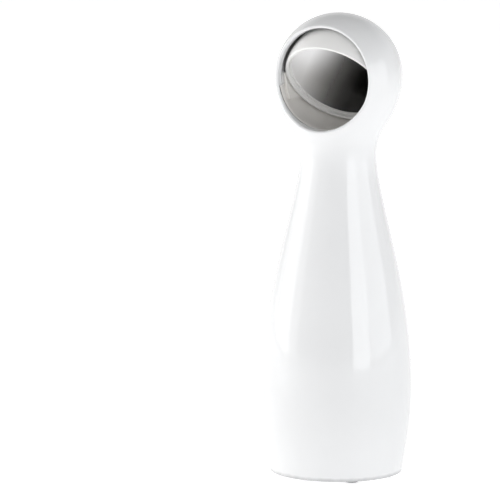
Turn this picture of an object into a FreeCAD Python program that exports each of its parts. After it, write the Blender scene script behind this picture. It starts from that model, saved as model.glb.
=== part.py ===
import FreeCAD, Part
import Sketcher
import math
import os
from FreeCAD import Vector, Placement, Rotation

# Battery laser toy, 228 mm tall: a round body that narrows to a neck and
# carries a ball head.  Millimetres, +Z up, front towards -Y, origin at the
# middle of the surface the toy stands on.

doc = FreeCAD.newDocument("laser_toy")
sheet = doc.addObject("Spreadsheet::Sheet", "Dims")

DIMS = [
    # outline: distances from the axis at fourteen stations, base to head
    ("outline_base", 32.72), ("outline_foot", 33.654), ("outline_low", 36.35),
    ("outline_belly", 37.601), ("outline_waistcoat", 35.704),
    ("outline_chest", 31.07), ("outline_shoulder", 25.187),
    ("outline_collar", 20.963), ("outline_neck_low", 18.773),
    ("outline_neck", 18.538), ("outline_neck_high", 19.502),
    ("outline_flare", 23.437), ("outline_cup", 27.785),
    ("outline_jaw", 29.054),
    ("wall", 2.2), ("neck_wall", 2.0), ("shell_bottom", 1.0),
    ("seam_level", 146.0), ("lip_height", 3.0), ("lip_gap", 0.1),
    # head
    ("head_radius", 31.2), ("head_level", 196.8), ("head_bore", 28.2),
    ("socket_bore", 29.5), ("socket_rim", 4.6), ("mouth_radius", 24.9),
    ("split_plane", 4.0), ("seat_level", 165.6), ("seat_bore", 12.8),
    ("bowl_outer", 29.2), ("well_bore", 7.0), ("well_outer", 8.4),
    ("well_bottom", 158.6), ("window_radius", 7.6), ("window_thick", 1.8),
    ("ear_inner", 26.9), ("ear_outer", 28.05), ("ear_width", 13.0),
    ("ear_hub", 3.2), ("pivot_pin", 1.2), ("pivot_hole", 1.25),
    ("carrier_outer", 26.6), ("carrier_inner", 25.1), ("carrier_lip", 5.2),
    ("mirror_radius", 24.4), ("mirror_face", 2.2), ("mirror_thick", 1.0),
    ("mirror_rest_angle", 48.0),
    # base
    ("plate_radius", 30.4), ("plate_bottom", 1.2), ("plate_top", 4.0),
    ("door_half", 18.4), ("door_plug_half", 16.4), ("door_thick", 1.3),
    ("foot_radius", 3.4), ("foot_spot", 18.9), ("foot_height", 1.8),
    ("base_boss_spot", 28.6), ("base_boss", 3.2),
    # cells
    ("cell_radius", 7.25), ("cell_length", 50.5), ("cell_spot", 7.6),
    ("spring_length", 4.0), ("contact_level", 3.8), ("contact_thick", 0.3),
    ("box_half", 16.7), ("box_wall", 1.6), ("box_bottom", 4.0),
    # drive
    ("gear_module", 0.5), ("deck_level", 100.0), ("deck_thick", 2.0),
    ("deck_radius", 26.4), ("deck_boss_spot", 23.0), ("deck_boss", 2.6),
    ("cover_level", 111.5), ("cover_radius", 19.8),
    ("shaft_radius", 1.0), ("running_hole", 1.05), ("layshaft_spot", 12.0),
    ("idler_across", -6.5), ("idler_back", 1.3219), ("motor_across", -2.0538),
    ("motor_front", -10.8943), ("motor_radius", 10.0), ("motor_half", 7.5),
    ("motor_bottom", 74.6), ("motor_cap_top", 77.2), ("motor_top", 99.9),
    ("pinion_teeth", 10), ("idler_teeth", 42), ("idler_pinion_teeth", 12),
    ("layshaft_teeth", 38), ("lower_pinion_teeth", 14), ("lower_ring_teeth", 34),
    ("upper_pinion_teeth", 12), ("upper_ring_teeth", 36),
    # optics
    ("tower_radius", 9.6), ("tower_bore", 8.0), ("stage_radius", 15.6),
    ("journal_radius", 6.0), ("journal_hole", 6.05), ("prism_radius", 5.0),
    ("prism_lean", 5.0), ("post_spot", 13.2), ("post_radius", 2.2),
    ("laser_radius", 3.25), ("laser_bottom", 117.0), ("laser_length", 14.0),
    # board and button
    ("board_front", 19.6), ("board_thick", 1.6), ("board_half", 12.0),
    ("board_bottom", 66.0), ("board_top", 96.0), ("button_level", 90.0),
    ("button_radius", 6.0), ("button_gap", 0.3), ("lead_radius", 0.55),
]

for row, (alias, value) in enumerate(DIMS, start=1):
    sheet.set("A%d" % row, alias)
    sheet.set("B%d" % row, "%.6g" % value)
    sheet.setAlias("B%d" % row, alias)
doc.recompute()


class Size:
    """A dimension that keeps its value together with its sheet formula."""

    def __init__(self, value, text):
        self.value = float(value)
        self.text = text

    @staticmethod
    def of(other):
        if isinstance(other, Size):
            return other
        return Size(other, "(%.6f)" % other)

    def __add__(self, other):
        other = Size.of(other)
        return Size(self.value + other.value, "(%s + %s)" % (self.text, other.text))

    __radd__ = __add__

    def __sub__(self, other):
        other = Size.of(other)
        return Size(self.value - other.value, "(%s - %s)" % (self.text, other.text))

    def __rsub__(self, other):
        return Size.of(other) - self

    def __mul__(self, other):
        other = Size.of(other)
        return Size(self.value * other.value, "(%s * %s)" % (self.text, other.text))

    __rmul__ = __mul__

    def __truediv__(self, other):
        other = Size.of(other)
        return Size(self.value / other.value, "(%s / %s)" % (self.text, other.text))

    def __neg__(self):
        return Size(-self.value, "(0 - %s)" % self.text)


def D(alias):
    """A dimension from the sheet."""
    return Size(sheet.get(alias), "Dims." + alias)


def num(q):
    return q.value if isinstance(q, Size) else float(q)


def bind(obj, prop, q):
    if isinstance(q, Size):
        obj.setExpression(prop, q.text)
    else:
        setattr(obj, prop, q)


def place(obj, at=(0, 0, 0), rot=None):
    obj.Placement = Placement(Vector(*[num(c) for c in at]), rot or Rotation())
    for c, letter in zip(at, "xyz"):
        if isinstance(c, Size):
            obj.setExpression("Placement.Base." + letter, c.text)
    return obj


AXES = {
    "z": Rotation(), "-z": Rotation(Vector(1, 0, 0), 180),
    "x": Rotation(Vector(0, 1, 0), 90), "-x": Rotation(Vector(0, 1, 0), -90),
    "y": Rotation(Vector(1, 0, 0), -90), "-y": Rotation(Vector(1, 0, 0), 90),
}


def cyl(name, radius, height, at=(0, 0, 0), axis="z"):
    o = doc.addObject("Part::Cylinder", name)
    bind(o, "Radius", radius)
    bind(o, "Height", height)
    return place(o, at, AXES[axis])


def box(name, size, at):
    o = doc.addObject("Part::Box", name)
    for prop, q in zip(("Length", "Width", "Height"), size):
        bind(o, prop, q)
    return place(o, at)


def ball(name, radius, at=(0, 0, 0)):
    o = doc.addObject("Part::Sphere", name)
    bind(o, "Radius", radius)
    return place(o, at)


def cone(name, r_low, r_high, height, at=(0, 0, 0), axis="z"):
    o = doc.addObject("Part::Cone", name)
    bind(o, "Radius1", r_low)
    bind(o, "Radius2", r_high)
    bind(o, "Height", height)
    return place(o, at, AXES[axis])


def cut(name, base, tool):
    o = doc.addObject("Part::Cut", name)
    o.Base = base
    o.Tool = tool
    return o


def fuse(name, parts):
    o = doc.addObject("Part::MultiFuse", name)
    o.Shapes = parts
    return o


def common(name, parts):
    o = doc.addObject("Part::MultiCommon", name)
    o.Shapes = parts
    return o


def group(name, parts):
    o = doc.addObject("Part::Compound", name)
    o.Links = parts
    return o


NODES = []


def node(label, obj):
    obj.Label = label
    NODES.append((label, obj))
    return obj


# ---- sketches and features ------------------------------------------------

def new_body(label):
    body = doc.addObject("PartDesign::Body", label)
    return node(label, body)


def new_sketch(body, name, role="XY_Plane", offset=None):
    s = body.newObject("Sketcher::SketchObject", name)
    plane = [f for f in body.Origin.OriginFeatures if f.Role == role][0]
    s.AttachmentSupport = [(plane, "")]
    s.MapMode = "FlatFace"
    if offset is not None:
        s.AttachmentOffset = Placement(Vector(0, 0, num(offset)), Rotation())
        if isinstance(offset, Size):
            s.setExpression("AttachmentOffset.Base.z", offset.text)
    return s


def hold(s, kind, q, geo, pos):
    value = num(q)
    if abs(value) < 1e-9:
        s.addConstraint(Sketcher.Constraint("PointOnObject", geo, pos, -2 if kind == "DistanceX" else -1))
        return
    i = s.addConstraint(Sketcher.Constraint(kind, -1, 1, geo, pos, value))
    if isinstance(q, Size):
        s.setExpression("Constraints[%d]" % i, q.text)


def outline(s, points, arcs=None, splines=None):
    """Closed outline.  points: (x, y, fixed) with fixed among 'xy', 'x', 'y', ''.
    arcs: {i: (cx, cy, radius, turn)} for the run from point i to point i+1,
    splines: {i: curve}."""
    arcs = arcs or {}
    splines = splines or {}
    n = len(points)
    ends = []
    for i in range(n):
        a = points[i]
        b = points[(i + 1) % n]
        pa = Vector(num(a[0]), num(a[1]), 0)
        pb = Vector(num(b[0]), num(b[1]), 0)
        if i in arcs:
            cx, cy, radius, turn = arcs[i]
            c = Vector(num(cx), num(cy), 0)
            circle = Part.Circle(c, Vector(0, 0, 1), num(radius))
            ta = math.atan2(pa.y - c.y, pa.x - c.x)
            tb = math.atan2(pb.y - c.y, pb.x - c.x)
            if turn > 0:
                g = s.addGeometry(Part.ArcOfCircle(circle, ta, tb))
                ends.append((g, 1, 2))
            else:
                g = s.addGeometry(Part.ArcOfCircle(circle, tb, ta))
                ends.append((g, 2, 1))
            hold(s, "DistanceX", cx, g, 3)
            hold(s, "DistanceY", cy, g, 3)
            k = s.addConstraint(Sketcher.Constraint("Radius", g, num(radius)))
            if isinstance(radius, Size):
                s.setExpression("Constraints[%d]" % k, radius.text)
        elif i in splines:
            g = s.addGeometry(splines[i])
            ends.append((g, 1, 2))
        else:
            g = s.addGeometry(Part.LineSegment(pa, pb))
            ends.append((g, 1, 2))
    for i in range(n):
        g, start, end = ends[i]
        g2, start2, end2 = ends[(i + 1) % n]
        s.addConstraint(Sketcher.Constraint("Coincident", g, end, g2, start2))
    for i in range(n):
        g, start, end = ends[i]
        fixed = points[i][2] if len(points[i]) > 2 else "xy"
        if "x" in fixed:
            hold(s, "DistanceX", points[i][0], g, start)
        if "y" in fixed:
            hold(s, "DistanceY", points[i][1], g, start)
    return s


def ring(s, radius, at=(0, 0)):
    g = s.addGeometry(Part.Circle(Vector(num(at[0]), num(at[1]), 0), Vector(0, 0, 1), num(radius)))
    k = s.addConstraint(Sketcher.Constraint("Radius", g, num(radius)))
    if isinstance(radius, Size):
        s.setExpression("Constraints[%d]" % k, radius.text)
    hold(s, "DistanceX", at[0], g, 3)
    hold(s, "DistanceY", at[1], g, 3)
    return g


def rect(s, x0, y0, x1, y1):
    return outline(s, [(x0, y0), (x1, y0), (x1, y1), (x0, y1)])


def round_rect(s, half, corner):
    """Square of half-width 'half' about the origin with round corners."""
    inner = half - corner
    return outline(
        s,
        [(inner, half, "x"), (-inner, half, "x"), (-half, inner, "y"), (-half, -inner, "y"),
         (-inner, -half, "x"), (inner, -half, "x"), (half, -inner, "y"), (half, inner, "y")],
        arcs={1: (-inner, inner, corner, 1), 3: (-inner, -inner, corner, 1),
              5: (inner, -inner, corner, 1), 7: (inner, inner, corner, 1)})


def pad(body, name, s, length, back=False):
    f = body.newObject("PartDesign::Pad", name)
    f.Profile = s
    bind(f, "Length", length)
    f.Reversed = back
    return f


def pocket(body, name, s, length=None, back=False):
    f = body.newObject("PartDesign::Pocket", name)
    f.Profile = s
    if length is None:
        f.Type = "ThroughAll"
    else:
        bind(f, "Length", length)
    f.Reversed = back
    return f


def turn_solid(body, name, s):
    f = body.newObject("PartDesign::Revolution", name)
    f.Profile = s
    f.ReferenceAxis = (s, ["V_Axis"])
    f.Angle = 360
    return f


def polar(body, name, originals, count):
    f = body.newObject("PartDesign::PolarPattern", name)
    f.Originals = originals
    axis = [a for a in body.Origin.OriginFeatures if a.Role == "Z_Axis"][0]
    f.Axis = (axis, [""])
    f.Angle = 360
    f.Occurrences = count
    body.Tip = f
    return f


def round_edges(body, name, base, radius, wanted):
    """Round the circular edges of 'base' that 'wanted' picks."""
    doc.recompute()
    names = []
    for i, e in enumerate(base.Shape.Edges, start=1):
        if wanted(e):
            names.append("Edge%d" % i)
    if not names:
        raise RuntimeError("no edge found for " + name)
    f = body.newObject("PartDesign::Fillet", name)
    f.Base = (base, names)
    bind(f, "Radius", radius)
    return f


# ---- the outline of the toy -----------------------------------------------

STATIONS = ["outline_base", "outline_foot", "outline_low", "outline_belly",
            "outline_waistcoat", "outline_chest", "outline_shoulder",
            "outline_collar", "outline_neck_low", "outline_neck",
            "outline_neck_high", "outline_flare", "outline_cup", "outline_jaw"]
BREAKS = [1.0, 20.0, 42.0, 70.0, 100.0, 125.0, 143.0, 154.0, 161.0, 167.0, 173.0, 180.0]
JAW_ANGLE = math.radians(17.0)
R_HEAD = D("head_radius").value
Z_HEAD = D("head_level").value
R_JAW = R_HEAD * math.cos(JAW_ANGLE)
Z_JAW = Z_HEAD - R_HEAD * math.sin(JAW_ANGLE)
KNOTS = BREAKS + [Z_JAW]
FLAT = [KNOTS[0]] * 3 + KNOTS + [KNOTS[-1]] * 3


def outer_curve(inset=0.0):
    """Outline below the head ball, as a curve whose parameter is the height."""
    poles = []
    radii = [D(a).value for a in STATIONS] + [R_JAW]
    for i, r in enumerate(radii):
        z = sum(FLAT[i + 1:i + 4]) / 3.0
        poles.append(Vector(r - inset, z, 0))
    c = Part.BSplineCurve()
    mults = [4] + [1] * (len(KNOTS) - 2) + [4]
    c.buildFromPolesMultsKnots(poles, mults, KNOTS, False, 3)
    return c


def outer_radius(z):
    return outer_curve().value(z).x


def piece(z0, z1, inset=0.0):
    c = outer_curve(inset)
    c.segment(z0, z1)
    return c


# ---- body shell -----------------------------------------------------------

wall = D("wall")
z_low = D("shell_bottom")
z_seam = D("seam_level")
r_low = outer_radius(z_low.value + 1e-6)
r_seam = outer_radius(z_seam.value)

body_shell = new_body("body_shell")
s = new_sketch(body_shell, "shell_section", "XZ_Plane")
lip_out = r_seam - wall.value / 2.0
outline(
    s,
    [(r_low, z_low), (r_seam, z_seam), (lip_out, z_seam),
     (lip_out, z_seam + D("lip_height")), (r_seam - wall.value, z_seam + D("lip_height")),
     (r_seam - wall.value, z_seam), (r_low - wall.value, z_low)],
    splines={0: piece(z_low.value, z_seam.value),
             5: (lambda c: (c.reverse(), c)[1])(piece(z_low.value, z_seam.value, wall.value))})
shell_turn = turn_solid(body_shell, "shell_turn", s)
shell_round = round_edges(
    body_shell, "shell_foot_round", shell_turn, 0.9,
    lambda e: abs(e.BoundBox.ZMax - z_low.value) < 1e-4 and e.BoundBox.XLength > 2 * r_low - 0.2)
# four posts that take the base screws
s = new_sketch(body_shell, "base_post_sketch", "XY_Plane", D("plate_top") + 0.2)
ring(s, D("base_boss"), (D("base_boss_spot"), 0))
p1 = pad(body_shell, "base_post", s, 9.0)
polar(body_shell, "base_posts", [p1], 4)
# three posts that take the drive deck
deck_top = D("deck_level") + D("deck_thick")
s = new_sketch(body_shell, "deck_post_sketch", "XY_Plane", deck_top + 0.05)
for ang in (30.0, 180.0, 290.0):
    ca, sa = math.cos(math.radians(ang)), math.sin(math.radians(ang))
    ring(s, D("deck_boss"), (D("deck_boss_spot") * ca, D("deck_boss_spot") * sa))
pad(body_shell, "deck_posts", s, 14.5)
# two bosses for the circuit board, behind it
s = new_sketch(body_shell, "board_post_sketch", "XZ_Plane", -(D("board_front") + D("board_thick") + 0.05))
ring(s, 2.5, (9.2, 71.0))
ring(s, 2.5, (-9.2, 71.0))
pad(body_shell, "board_posts", s, 11.2, back=True)
# screw holes
s = new_sketch(body_shell, "base_hole_sketch", "XY_Plane", D("plate_top"))
ring(s, 1.1, (D("base_boss_spot"), 0))
k1 = pocket(body_shell, "base_hole", s, 7.8, back=True)
polar(body_shell, "base_holes", [k1], 4)
s = new_sketch(body_shell, "deck_hole_sketch", "XY_Plane", deck_top)
for ang in (30.0, 180.0, 290.0):
    ca, sa = math.cos(math.radians(ang)), math.sin(math.radians(ang))
    ring(s, 1.0, (D("deck_boss_spot") * ca, D("deck_boss_spot") * sa))
pocket(body_shell, "deck_holes", s, 8.0, back=True)
s = new_sketch(body_shell, "board_hole_sketch", "XZ_Plane", -(D("board_front") + D("board_thick")))
ring(s, 1.0, (9.2, 71.0))
ring(s, 1.0, (-9.2, 71.0))
pocket(body_shell, "board_holes", s, 7.0)
# round hole for the power button, at the back
s = new_sketch(body_shell, "button_hole_sketch", "XZ_Plane", -24.0)
ring(s, D("button_radius") + D("button_gap"), (0, D("button_level")))
pocket(body_shell, "button_hole", s, 14.0)

# ---- head shells: front and rear halves ------------------------------------

R_SOCK = D("socket_bore").value
R_BORE = D("head_bore").value
NECK_WALL = D("neck_wall").value


def head_section(s):
    """Half section shared by both halves of the neck and head."""
    rim_z = D("head_level") - D("socket_rim")
    rim_in = math.sqrt(R_BORE ** 2 - D("socket_rim").value ** 2)
    rim_out = math.sqrt(R_SOCK ** 2 - D("socket_rim").value ** 2)
    seat = D("seat_bore")
    z_seat_top = Z_HEAD - math.sqrt(R_SOCK ** 2 - seat.value ** 2)
    z_ledge = D("seat_level")
    r_ledge = outer_radius(z_ledge.value) - NECK_WALL
    z_lip = z_seam + D("lip_height") + 0.2
    r_lip = outer_radius(z_lip.value) - NECK_WALL
    r_rebate = lip_out + D("lip_gap")
    inner = piece(z_lip.value, z_ledge.value, NECK_WALL)
    inner.reverse()
    pts = [
        (r_seam, z_seam, "xy"),                 # 0 outer, spline up
        (R_JAW, Z_JAW, "y"),                    # 1 ball starts
        (0, D("head_level") + D("head_radius"), "x"),   # 2 crown
        (0, D("head_level") + D("head_bore"), "x"),     # 3 crown inside
        (rim_in, rim_z, "y"),                   # 4 socket rim, inner
        (rim_out, rim_z, "y"),                  # 5 socket rim, outer
        (seat, z_seat_top, "x"),                # 6 seat of the bowl
        (seat, z_ledge, "xy"),                  # 7 below the seat
        (r_ledge, z_ledge, "xy"),               # 8 inside of the neck
        (r_lip, z_lip, "xy"),                   # 9 end of the neck bore
        (r_rebate, z_lip, "xy"),                # 10 rebate
        (r_rebate, z_seam, "xy"),               # 11
    ]
    zc = D("head_level")
    outline(s, pts,
            arcs={1: (0, zc, D("head_radius"), 1),
                  3: (0, zc, D("head_bore"), -1),
                  5: (0, zc, D("socket_bore"), -1)},
            splines={0: piece(z_seam.value, Z_JAW), 8: inner})


def head_half(label, front):
    b = new_body(label)
    s = new_sketch(b, label + "_section", "XZ_Plane")
    head_section(s)
    turn_solid(b, label + "_turn", s)
    # the half beyond the split plane is taken away
    s = new_sketch(b, label + "_split_sketch", "XZ_Plane", -(D("split_plane") - (0.03 if front else -0.03)))
    rect(s, -40.0, 140.0, 40.0, 235.0)
    pocket(b, label + "_split", s, 60.0, back=not front)
    return b


head_front = head_half("head_front_shell", True)
s = new_sketch(head_front, "mouth_sketch", "XZ_Plane")
ring(s, D("mouth_radius"), (0, D("head_level")))
mouth = pocket(head_front, "mouth", s, 60.0, back=True)
mouth_round = round_edges(
    head_front, "mouth_round", mouth, 0.9,
    lambda e: e.BoundBox.YMax < -11.0 and e.BoundBox.ZMax > Z_HEAD - 27 and e.BoundBox.ZMin < Z_HEAD + 27
    and abs(math.hypot(e.valueAt(e.FirstParameter).x, e.valueAt(e.FirstParameter).z - Z_HEAD)
            - D("mouth_radius").value) < 0.02
    and abs(math.hypot(e.valueAt(0.5 * (e.FirstParameter + e.LastParameter)).x,
                       e.valueAt(0.5 * (e.FirstParameter + e.LastParameter)).z - Z_HEAD)
            - D("mouth_radius").value) < 0.02
    and math.hypot(e.valueAt(0.5 * (e.FirstParameter + e.LastParameter)).y,
                   e.valueAt(0.5 * (e.FirstParameter + e.LastParameter)).x) > 1.0
    and min((e.valueAt(e.FirstParameter + t * (e.LastParameter - e.FirstParameter)) - Vector(0, 0, Z_HEAD)).Length
            for t in (0.1, 0.3, 0.5, 0.7, 0.9)) > R_HEAD - 0.3)
s = new_sketch(head_front, "neck_screw_hole_sketch", "XZ_Plane", -(D("split_plane") + 1.0))
ring(s, 1.1, (14.6, 168.0))
ring(s, 1.1, (-14.6, 168.0))
pocket(head_front, "neck_screw_holes", s, 9.0, back=True)

head_rear = head_half("head_rear_shell", False)
s = new_sketch(head_rear, "neck_screw_clear_sketch", "XZ_Plane", -3.0)
ring(s, 1.35, (14.6, 168.0))
ring(s, 1.35, (-14.6, 168.0))
pocket(head_rear, "neck_screw_clear", s, 30.0)
s = new_sketch(head_rear, "neck_screw_sink_sketch", "XZ_Plane", -7.5)
ring(s, 2.4, (14.6, 168.0))
ring(s, 2.4, (-14.6, 168.0))
pocket(head_rear, "neck_screw_sink", s, 30.0)

# ---- base plate, door, feet -------------------------------------------------

z_plate = D("plate_bottom")
plate_thick = D("plate_top") - D("plate_bottom")
base_plate = new_body("base_plate")
s = new_sketch(base_plate, "plate_sketch", "XY_Plane", z_plate)
ring(s, D("plate_radius"))
pad(base_plate, "plate", s, plate_thick)
s = new_sketch(base_plate, "door_way_sketch", "XY_Plane", z_plate)
round_rect(s, D("door_plug_half") + 0.3, Size.of(8.3))
pocket(base_plate, "door_way", s, 10.0, back=True)
s = new_sketch(base_plate, "door_sink_sketch", "XY_Plane", z_plate)
round_rect(s, D("door_half") + 0.3, Size.of(8.6))
pocket(base_plate, "door_sink", s, D("door_thick") + 0.15, back=True)
s = new_sketch(base_plate, "door_tab_sketch", "XY_Plane", z_plate)
ring(s, 3.9, (0, 20.9))
ring(s, 3.9, (0, -20.9))
pocket(base_plate, "door_tab_sinks", s, D("door_thick") + 0.15, back=True)
s = new_sketch(base_plate, "door_screw_sketch", "XY_Plane", z_plate)
ring(s, 1.1, (0, 20.9))
ring(s, 1.1, (0, -20.9))
pocket(base_plate, "door_screw_holes", s, 10.0, back=True)
s = new_sketch(base_plate, "base_screw_sketch", "XY_Plane", z_plate)
ring(s, 1.35, (D("base_boss_spot"), 0))
b1 = pocket(base_plate, "base_screw_hole", s, 10.0, back=True)
polar(base_plate, "base_screw_holes", [b1], 4)
s = new_sketch(base_plate, "foot_sink_sketch", "XY_Plane", z_plate)
spot = D("foot_spot")
for sx, sy in ((1, 1), (-1, 1), (-1, -1), (1, -1)):
    ring(s, D("foot_radius"), (spot if sx > 0 else -spot, spot if sy > 0 else -spot))
pocket(base_plate, "foot_sinks", s, D("foot_height") - D("plate_bottom"), back=True)
s = new_sketch(base_plate, "box_screw_sketch", "XY_Plane", D("plate_top"))
for sx, sy in ((1, 1), (-1, 1), (-1, -1), (1, -1)):
    ring(s, 1.0, (18.6 * sx, 18.6 * sy))
pocket(base_plate, "box_screw_holes", s, 1.8)

door = new_body("battery_door")
s = new_sketch(door, "door_sketch", "XY_Plane", z_plate + 0.1)
round_rect(s, D("door_half"), Size.of(8.3))
pad(door, "door_skin", s, D("door_thick"))
s = new_sketch(door, "door_tab_sketch_outer", "XY_Plane", z_plate + 0.1)
ring(s, 3.6, (0, 20.9))
pad(door, "door_tab_rear", s, D("door_thick"))
s = new_sketch(door, "door_tab_sketch_front", "XY_Plane", z_plate + 0.1)
ring(s, 3.6, (0, -20.9))
pad(door, "door_tab_front", s, D("door_thick"))
s = new_sketch(door, "door_plug_sketch", "XY_Plane", z_plate + 0.1 + D("door_thick"))
round_rect(s, D("door_plug_half"), Size.of(8.0))
pad(door, "door_plug", s, D("contact_level") - z_plate - 0.1 - D("door_thick"))
s = new_sketch(door, "door_hole_sketch", "XY_Plane", z_plate)
ring(s, 1.25, (0, 20.9))
ring(s, 1.25, (0, -20.9))
pocket(door, "door_holes", s, 5.0, back=True)
s = new_sketch(door, "door_counter_sketch", "XY_Plane", z_plate)
ring(s, 2.2, (0, 20.9))
ring(s, 2.2, (0, -20.9))
pocket(door, "door_counters", s, 0.8, back=True)
s = new_sketch(door, "door_grip_sketch", "XY_Plane", z_plate + 0.1)
for k in range(5):
    rect(s, -7.0, -4.4 + 2.0 * k, 7.0, -3.6 + 2.0 * k)
pocket(door, "door_grip", s, 0.4, back=True)

feet = []
for i, (sx, sy) in enumerate(((1, 1), (-1, 1), (-1, -1), (1, -1))):
    at = (spot if sx > 0 else -spot, spot if sy > 0 else -spot, 0)
    c0 = cone("foot_edge_%d" % i, D("foot_radius") - 0.35, D("foot_radius") - 0.05, 0.35, at)
    c1 = cyl("foot_pad_%d" % i, D("foot_radius") - 0.05, D("foot_height") - 0.35,
             (at[0], at[1], 0.35))
    feet.append(fuse("foot_%d" % i, [c0, c1]))
node("rubber_feet", group("rubber_feet", feet))


def screw(name, at, axis, head_r, head_h, shank_r, shank_l):
    """Pan head screw: the head's underside is at 'at', the shank runs along axis."""
    ax = {"z": (0, 0, 1), "-z": (0, 0, -1), "y": (0, 1, 0), "-y": (0, -1, 0)}[axis]
    back = {"z": "-z", "-z": "z", "y": "-y", "-y": "y"}[axis]
    head = cyl(name + "_head", head_r, head_h, at, back)
    shank = cyl(name + "_shank", shank_r, shank_l - 0.8, at, axis)
    tip_at = tuple(a + (shank_l - 0.8) * d if d else a for a, d in zip(at, ax))
    tip = cone(name + "_tip", shank_r, shank_r * 0.45, 0.8, tip_at, axis)
    whole = fuse(name + "_blank", [head, shank, tip])
    depth = head_h * 0.6
    w = head_r * 1.25
    bars = []
    for k in (0, 1):
        if axis in ("z", "-z"):
            lx, ly = (w, 0.45) if k else (0.45, w)
            top = at[2] - (head_h if axis == "z" else -head_h)
            z0 = top if axis == "z" else top - depth
            bars.append(box(name + "_bar%d" % k, (lx, ly, depth), (at[0] - lx / 2, at[1] - ly / 2, z0)))
        else:
            lx, lz = (w, 0.45) if k else (0.45, w)
            top = at[1] - (head_h if axis == "y" else -head_h)
            y0 = top if axis == "y" else top - depth
            bars.append(box(name + "_bar%d" % k, (lx, depth, lz), (at[0] - lx / 2, y0, at[2] - lz / 2)))
    return cut(name, whole, fuse(name + "_cross", bars))


base_spot = D("base_boss_spot")
node("base_screws", group("base_screws", [
    screw("base_screw_0", (base_spot, 0, z_plate + 1.3), "z", 2.0, 1.2, 1.1, 8.0),
    screw("base_screw_1", (0, base_spot, z_plate + 1.3), "z", 2.0, 1.2, 1.1, 8.0),
    screw("base_screw_2", (-base_spot, 0, z_plate + 1.3), "z", 2.0, 1.2, 1.1, 8.0),
    screw("base_screw_3", (0, -base_spot, z_plate + 1.3), "z", 2.0, 1.2, 1.1, 8.0)]))
# counterbores for those heads
s = new_sketch(base_plate, "base_head_sketch", "XY_Plane", z_plate)
for ax_, ay_ in ((1, 0), (0, 1), (-1, 0), (0, -1)):
    ring(s, 2.2 if ax_ or ay_ else 0, (base_spot if ax_ > 0 else (-base_spot if ax_ < 0 else 0),
                                      base_spot if ay_ > 0 else (-base_spot if ay_ < 0 else 0)))
pocket(base_plate, "base_head_sinks", s, 1.3, back=True)

node("battery_door_screws", group("battery_door_screws", [
    screw("door_screw_0", (0, 20.9, z_plate + 0.8), "z", 2.0, 0.65, 1.08, 2.6),
    screw("door_screw_1", (0, -20.9, z_plate + 0.8), "z", 2.0, 0.65, 1.08, 2.6)]))

# ---- cells and their box ----------------------------------------------------

cs = D("cell_spot")
z_door_contact = D("contact_level") + D("contact_thick")
z_top_contact = z_door_contact + D("cell_length") + D("spring_length")
CELLS = [(-1, -1, 1), (1, -1, -1), (1, 1, 1), (-1, 1, -1)]
cells = []
for i, (sx, sy, up) in enumerate(CELLS):
    x = cs if sx > 0 else -cs
    y = cs if sy > 0 else -cs
    z0 = z_door_contact + D("spring_length") if up > 0 else z_door_contact + 1.0
    can = cyl("cell_can_%d" % i, D("cell_radius"), D("cell_length") - 1.0, (x, y, z0))
    nub_z = z0 + D("cell_length") - 1.0 if up > 0 else z_door_contact
    nub = cyl("cell_nub_%d" % i, 2.6, 1.0, (x, y, nub_z))
    cells.append(fuse("cell_%d" % i, [can, nub]))
node("aa_cells", group("aa_cells", cells))

box_body = new_body("battery_box")
s = new_sketch(box_body, "box_sketch", "XY_Plane", D("box_bottom"))
round_rect(s, D("box_half"), D("cell_radius") + D("box_wall"))
box_height = z_top_contact + D("contact_thick") + D("box_wall") - D("box_bottom")
pad(box_body, "box_block", s, box_height)
for k, (sx, sy) in enumerate(((1, 1), (-1, 1), (-1, -1), (1, -1))):
    s = new_sketch(box_body, "box_ear_sketch_%d" % k, "XY_Plane", D("box_bottom"))
    ring(s, 3.0, (18.6 * sx, 18.6 * sy))
    pad(box_body, "box_ear_%d" % k, s, 1.6)
    s = new_sketch(box_body, "box_web_sketch_%d" % k, "XY_Plane", D("box_bottom"))
    rect(s, min(11.5 * sx, 18.4 * sx), min(11.5 * sy, 18.4 * sy), max(11.5 * sx, 18.4 * sx), max(11.5 * sy, 18.4 * sy))
    pad(box_body, "box_web_%d" % k, s, 1.6)
s = new_sketch(box_body, "bay_sketch", "XY_Plane", D("box_bottom"))
round_rect(s, D("box_half") - D("box_wall"), D("cell_radius") + 0.1)
pocket(box_body, "bay", s, box_height - D("box_wall"), back=True)
s = new_sketch(box_body, "ear_hole_sketch", "XY_Plane", D("box_bottom"))
for sx, sy in ((1, 1), (-1, 1), (-1, -1), (1, -1)):
    ring(s, 1.2, (18.6 * sx, 18.6 * sy))
pocket(box_body, "ear_holes", s, 5.0, back=True)
s = new_sketch(box_body, "tag_slot_sketch", "XY_Plane", D("box_bottom") + box_height - D("box_wall") - 0.5)
rect(s, -9.4, -13.1, -5.8, -12.1)
rect(s, -9.4, 12.1, -5.8, 13.1)
pocket(box_body, "tag_slots", s, 5.0, back=True)

z_ear = D("box_bottom") + 1.6
node("battery_box_screws", group("battery_box_screws", [
    screw("box_screw_%d" % i, (18.6 * sx, 18.6 * sy, z_ear), "-z", 1.9, 1.1, 1.0, 3.2)
    for i, (sx, sy) in enumerate(((1, 1), (-1, 1), (-1, -1), (1, -1)))]))

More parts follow.
